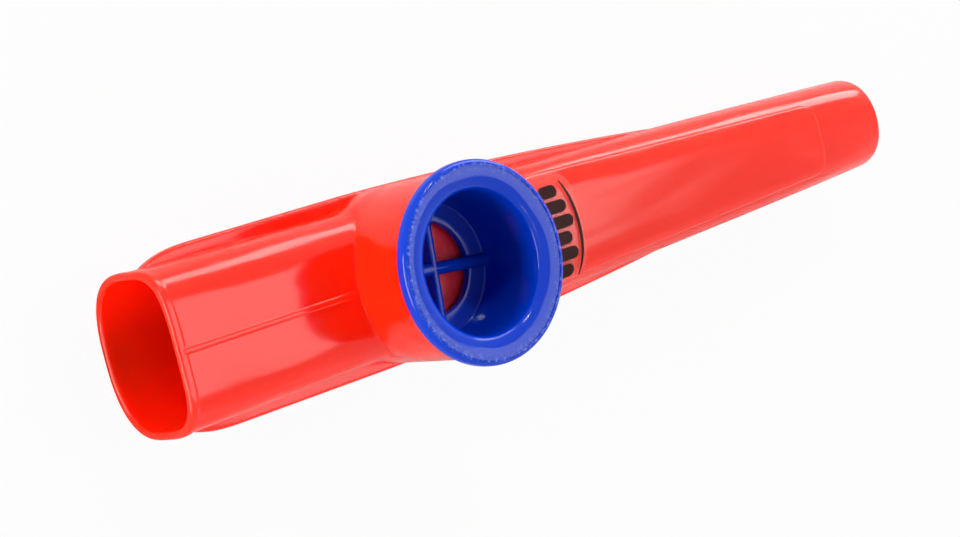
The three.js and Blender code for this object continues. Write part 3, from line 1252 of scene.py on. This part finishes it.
@dataclass(frozen=True)
class Membrane:
    """Film that buzzes and the ring that carries it."""

    body: KazooBody
    # Blown film: a nearly solid red sheet with a waxy sheen and fine crinkles.
    film: PlasticFilm = PlasticFilm(
        name="blown_plastic_membrane_film",
        colour="#FF1E2E",
        roughness=0.3,
        ior=1.5,
        cover=(0.76, 1.235),
        patch_mm=1.6,
        patch_detail=4.0,
        patch_twist=0.6,
        patch_levels=(0.3, 0.8),
        relief_strength=0.35,
        relief_mm=0.3,
    )
    ring: MouldedPlastic = MouldedPlastic(
        name="injection_moulded_white_ring",
        colour="#DAD5C9",
        deep_colour="#E9E5DB",
        roughness=0.4,
    )
    piece_gap: float = 0.3
    stack_gap: float = 0.2
    ring_thickness: float = 0.7
    ring_width: float = 1.9
    film_gap: float = 0.1
    film_thickness: float = 0.2
    ring_edge: float = 0.12
    crinkle: float = 0.03

    @property
    def radius(self) -> float:
        """Outer radius of the film and the ring."""
        return self.body.bore_radius - self.piece_gap

    @property
    def ring_bottom(self) -> float:
        """Height of the ring's underside."""
        return self.body.seat_height + self.stack_gap

    @property
    def film_top(self) -> float:
        """Height of the film's upper side."""
        return self.ring_bottom + self.ring_thickness + self.film_gap + self.film_thickness

    def build_ring(self) -> bpy.types.Object:
        """Builds the ring."""
        low, high = self.ring_bottom, self.ring_bottom + self.ring_thickness
        inner, outer, edge = self.radius - self.ring_width, self.radius, self.ring_edge
        reach = (edge, edge)
        profile = [
            *arc((inner + edge, low + edge), reach, 180, 270, 4),
            *arc((outer - edge, low + edge), reach, -90, 0, 4),
            *arc((outer - edge, high - edge), reach, 0, 90, 4),
            *arc((inner + edge, high - edge), reach, 90, 180, 4),
        ]
        bm = turned(profile, self.body.turret_x, 128)
        return finished("film_ring", bm, Carrier.MEMBRANE, self.ring.material(), "membrane_ring")

    def build_film(self) -> bpy.types.Object:
        """Builds the film, with low crinkles that fade out at its clamped edge."""
        high = self.film_top
        low = high - self.film_thickness
        places = spaced(0, self.radius - 0.1, 0.5)
        profile = [(place, low) for place in places]
        profile += [(self.radius, low + 0.05), (self.radius, high - 0.05)]
        profile += [(place, high) for place in reversed(places)]
        bm = turned(profile, 0.0, 96)
        for vert in bm.verts:
            reach = math.hypot(vert.co.x, vert.co.y)
            wave = math.sin(1.1 * vert.co.x + 0.6) * math.cos(0.9 * vert.co.y - 0.3)
            wave += 0.5 * math.sin(1.9 * vert.co.x - 1.3 * vert.co.y)
            vert.co.z += self.crinkle * wave / 1.5 * eased((self.radius - self.ring_width - reach) / 3)
        bmesh.ops.translate(bm, vec=(self.body.turret_x, 0, 0), verts=bm.verts)
        return finished("buzzing_film", bm, Carrier.MEMBRANE, self.film.material(), "membrane")

    def build(self) -> None:
        """Builds and dresses the film and its ring."""
        self.build_ring()
        self.build_film()


@dataclass(frozen=True)
class Cap:
    """Blue flared cup with a rolled rim, a holed floor and a cross of spokes."""

    body: KazooBody
    membrane: Membrane
    finish: MouldedPlastic = MouldedPlastic(
        name="injection_moulded_blue_polystyrene",
        colour="#0038BA",
        deep_colour="#0030AE",
        gloss_level=0.24,
        # Paler patches on the rim's top: rubbed wear together with a painted highlight along the crest.
        wear_and_highlight_colour="#7E96EE",
        wear_and_highlight_from_mm=24.52,
        wear_and_highlight_to_mm=24.7,
        roughness=0.07,
        ripple_strength=0.05,
        scuff_gloss=0.25,
    )
    rim_overhang: float = 0.9
    rim_height: float = 1.8
    crest_inset: float = 0.75
    rim_round: float = 0.6
    mouth_inset: float = 0.7
    mouth_round: float = 2.6
    mouth_drop: float = 0.1
    floor_inset: float = 1.4
    floor_thickness: float = 1.0
    floor_ledge: float = 2.1
    turn: float = math.radians(-6)
    long_spoke_width: float = 1.5
    cross_spoke_width: float = 1.1
    long_spoke_edge: float = 0.72
    cross_spoke_edge: float = 0.53
    spoke_rise: float = 0.8
    spoke_root: float = 0.5

    @property
    def bottom(self) -> float:
        """Height of the cap's underside."""
        return self.membrane.film_top + self.membrane.piece_gap

    def cup(self) -> bmesh.types.BMesh:
        """Flared cup without its spokes."""
        gap = self.membrane.piece_gap
        sleeve = self.body.bore_radius - gap
        rim_bottom = self.body.turret_height + gap
        rim_top = rim_bottom + self.rim_height
        rim = self.body.turret_top_radius + self.rim_overhang
        mouth = sleeve - self.mouth_inset
        floor = sleeve - self.floor_inset
        hole = floor - self.floor_ledge
        floor_top = self.bottom + self.floor_thickness
        crest = self.crest_inset
        low_edge = arc((rim - self.rim_round, rim_bottom + self.rim_round), (self.rim_round,) * 2, -90, 0, 8)
        high_edge = arc((rim - crest, rim_top - crest), (crest, crest), 0, 90, 12)
        flare_bottom = rim_bottom + self.rim_round
        flare_reach = (self.mouth_round, rim_top - self.mouth_drop - flare_bottom)
        flare = arc((mouth + self.mouth_round, flare_bottom), flare_reach, 90, 180, 14)
        wall_end = (floor + 0.35, floor_top + 0.5)
        wall = [
            (lerp(mouth, wall_end[0], i / 6), lerp(flare_bottom, wall_end[1], i / 6)) for i in range(1, 6)
        ]
        profile = [
            (hole, self.bottom + 0.12),
            (hole + 0.12, self.bottom),
            (sleeve - gap, self.bottom),
            (sleeve, self.bottom + gap),
            (sleeve, rim_bottom - 0.2),
            (sleeve + 0.2, rim_bottom),
            *low_edge,
            *high_edge,
            *flare,
            *wall,
            *arc((floor + 0.15, floor_top + 0.2), (0.2, 0.2), 0, -90, 5),
            (hole + 0.16, floor_top),
            (hole + 0.05, floor_top - 0.05),
            (hole, floor_top - 0.16),
        ]
        return turned(profile, self.body.turret_x, 224)

    def spoke(self, width: float, edge: float, angle: float) -> bmesh.types.BMesh:
        """One spoke across the hole, with rounded top edges.

        Args:
            width: Its width.
            edge: Radius of its top edges.
            angle: Its direction from +X.

        Returns:
            The spoke as a solid.
        """
        sleeve = self.body.bore_radius - self.membrane.piece_gap
        length = 2 * (sleeve - self.floor_inset + self.spoke_root)
        height = self.floor_thickness + self.spoke_rise
        bm = bmesh.new()
        bmesh.ops.create_cube(bm, size=1)
        bmesh.ops.scale(bm, vec=(length, width, height), verts=bm.verts)
        upper = [item for item in bm.edges if all(vert.co.z > 0 for vert in item.verts)]
        crown = [item for item in upper if abs(item.verts[0].co.x - item.verts[1].co.x) > 1]
        bmesh.ops.bevel(bm, geom=crown, offset=edge, segments=6, profile=0.5, affect="EDGES", material=-1)
        bmesh.ops.rotate(bm, cent=(0, 0, 0), matrix=Matrix.Rotation(angle, 3, "Z"), verts=bm.verts)
        bmesh.ops.translate(bm, vec=(self.body.turret_x, 0, self.bottom + height / 2), verts=bm.verts)
        return bm

    def build(self) -> bpy.types.Object:
        """Builds and dresses the cap."""
        along = self.spoke(self.long_spoke_width, self.long_spoke_edge, self.turn)
        across = self.spoke(self.cross_spoke_width, self.cross_spoke_edge, self.turn + math.pi / 2)
        bm = carved("cap_work", self.cup(), [(Cut.JOIN, along), (Cut.JOIN, across)])
        return finished("flared_cap", bm, Carrier.CAP, self.finish.material(), "cap")


# ---- studio ---------------------------------------------------------------------------------


@dataclass(frozen=True)
class Softbox:
    """Rectangular soft light that faces a point on the kazoo."""

    name: str
    place: tuple[float, float, float]
    size: tuple[float, float]
    brightness: float
    target: tuple[float, float, float] = (0.0, 0.0, 10.0)

    def build(self) -> None:
        """Hangs the light, with its power worked out from how bright its face looks."""
        lamp = bpy.data.lights.new(self.name, "AREA")
        lamp.shape = "RECTANGLE"
        lamp.size, lamp.size_y = (side * MM for side in self.size)
        lamp.energy = self.brightness * math.pi * lamp.size * lamp.size_y
        hung = bpy.data.objects.new(self.name, lamp)
        bpy.context.scene.collection.objects.link(hung)
        hung.location = Vector(self.place) * MM
        aim = (Vector(self.target) - Vector(self.place)).normalized()
        hung.rotation_mode = "QUATERNION"
        hung.rotation_quaternion = aim.to_track_quat("-Z", "Y")


@dataclass(frozen=True)
class Studio:
    """White sweep, soft lights and the camera."""

    floor_reach: float = 3000.0
    floor_colour: str = "#CFCFCF"
    floor_glow: float = 0.95
    horizon: float = 4.2
    zenith: float = 0.02
    fade_height: float = 0.52
    mouth_end_share: float = 0.3
    outlet_end_share: float = 1.5
    end_reach: float = 0.6
    mirrored: float = 0.85
    lights: tuple[Softbox, ...] = (
        Softbox("end_box", (300, -50, 560), (400, 400), 3.3),
        Softbox("low_side_box", (300, 330, 85), (360, 150), 6.2),
        Softbox("high_strip", (33, 370, 311), (90, 24), 110.0),
        Softbox("overhead_strip", (-265, -162, 522), (520, 3), 90.0),
        Softbox("mouth_fill", (-430, 0, 60), (360, 110), 16.0, (-60, 0, 8)),
    )
    camera_place: tuple[float, float, float] = (-182.9, 23.4, 214.76)
    camera_target: tuple[float, float, float] = (-15.49, -2.04, 12.0)
    picture_up: tuple[float, float, float] = (0.2486, 0.965, 0.0842)
    lens: float = 84.63

    def build_floor(self) -> None:
        """Lays the white floor, which keeps the kazoo's soft shadow."""
        bm = bmesh.new()
        bmesh.ops.create_grid(bm, x_segments=8, y_segments=8, size=self.floor_reach)
        bmesh.ops.scale(bm, vec=(MM, MM, MM), verts=bm.verts)
        floor = as_object("studio_floor", bm)
        material, tree = blank_material("matt_white_studio_floor")
        path = add_node(tree, "ShaderNodeLightPath")
        matt = add_node(tree, "ShaderNodeBsdfDiffuse", {"Color": linear(self.floor_colour)})
        white = add_node(tree, "ShaderNodeEmission", {"Color": linear("#FFFFFF"), "Strength": 1.0})
        seen = add_node(
            tree,
            "ShaderNodeMath",
            {0: path.outputs["Is Camera Ray"], 1: self.floor_glow},
            operation="MULTIPLY",
        )
        blend = add_node(
            tree, "ShaderNodeMixShader", {0: seen.outputs[0], 1: matt.outputs[0], 2: white.outputs[0]}
        )
        add_node(tree, "ShaderNodeOutputMaterial", {"Surface": blend.outputs[0]})
        floor.data.materials.append(material)

    def build_world(self) -> None:
        """Surrounds the kazoo with a white sky.

        Gloss and the camera see it even. Its soft light comes from low down and mostly from the
        outlet's end, so that the cup's inside stays darker than its rim.
        """
        world = bpy.data.worlds.new("white_sweep")
        bpy.context.scene.world = world
        world.use_nodes = True
        tree = world.node_tree
        tree.nodes.clear()
        path = add_node(tree, "ShaderNodeLightPath")
        direction = add_node(tree, "ShaderNodeTexCoord").outputs["Generated"]
        parts = add_node(tree, "ShaderNodeSeparateXYZ", {0: direction})
        soft_light = add_node(
            tree,
            "ShaderNodeMapRange",
            {
                "Value": parts.outputs["Z"],
                "From Max": self.fade_height,
                "To Min": self.horizon,
                "To Max": self.zenith,
            },
        )
        from_outlet = add_node(
            tree,
            "ShaderNodeMapRange",
            {
                "Value": parts.outputs["X"],
                "From Min": -self.end_reach,
                "From Max": self.end_reach,
                "To Min": self.mouth_end_share,
                "To Max": self.outlet_end_share,
            },
        )
        sided = add_node(
            tree,
            "ShaderNodeMath",
            {0: soft_light.outputs[0], 1: from_outlet.outputs[0]},
            operation="MULTIPLY",
        )
        mirrored = add_node(
            tree,
            "ShaderNodeMix",
            {0: path.outputs["Is Glossy Ray"], 2: sided.outputs[0], 3: self.mirrored},
        )
        strength = add_node(
            tree,
            "ShaderNodeMix",
            {0: path.outputs["Is Camera Ray"], 2: mirrored.outputs[0], 3: 1.0},
        )
        sky = add_node(
            tree, "ShaderNodeBackground", {"Color": linear("#FFFFFF"), "Strength": strength.outputs[0]}
        )
        add_node(tree, "ShaderNodeOutputWorld", {"Surface": sky.outputs[0]})

    def build_camera(self) -> None:
        """Sets up the camera."""
        lens = bpy.data.cameras.new("studio_camera")
        lens.sensor_width = 36
        lens.lens = self.lens
        lens.clip_start, lens.clip_end = 0.01, 20
        camera = bpy.data.objects.new("studio_camera", lens)
        bpy.context.scene.collection.objects.link(camera)
        place = Vector(self.camera_place)
        ahead = (Vector(self.camera_target) - place).normalized()
        right = ahead.cross(Vector(self.picture_up)).normalized()
        up = right.cross(ahead)
        turn = Matrix((right, up, -ahead)).transposed().to_4x4()
        camera.matrix_world = Matrix.Translation(place * MM) @ turn
        bpy.context.scene.camera = camera

    def build(self) -> None:
        """Builds the whole studio."""
        bpy.context.scene.view_settings.view_transform = "Standard"
        self.build_floor()
        self.build_world()
        for light in self.lights:
            light.build()
        self.build_camera()


def main() -> None:
    """Builds the kazoo's pieces in order, then the studio."""
    logging.basicConfig(level=logging.INFO, format="%(name)s: %(message)s")
    body = KazooBody()
    membrane = Membrane(body)
    body.build()
    Sticker(body).build()
    membrane.build()
    Cap(body, membrane).build()
    Studio().build()


if __name__ == "__main__":
    main()
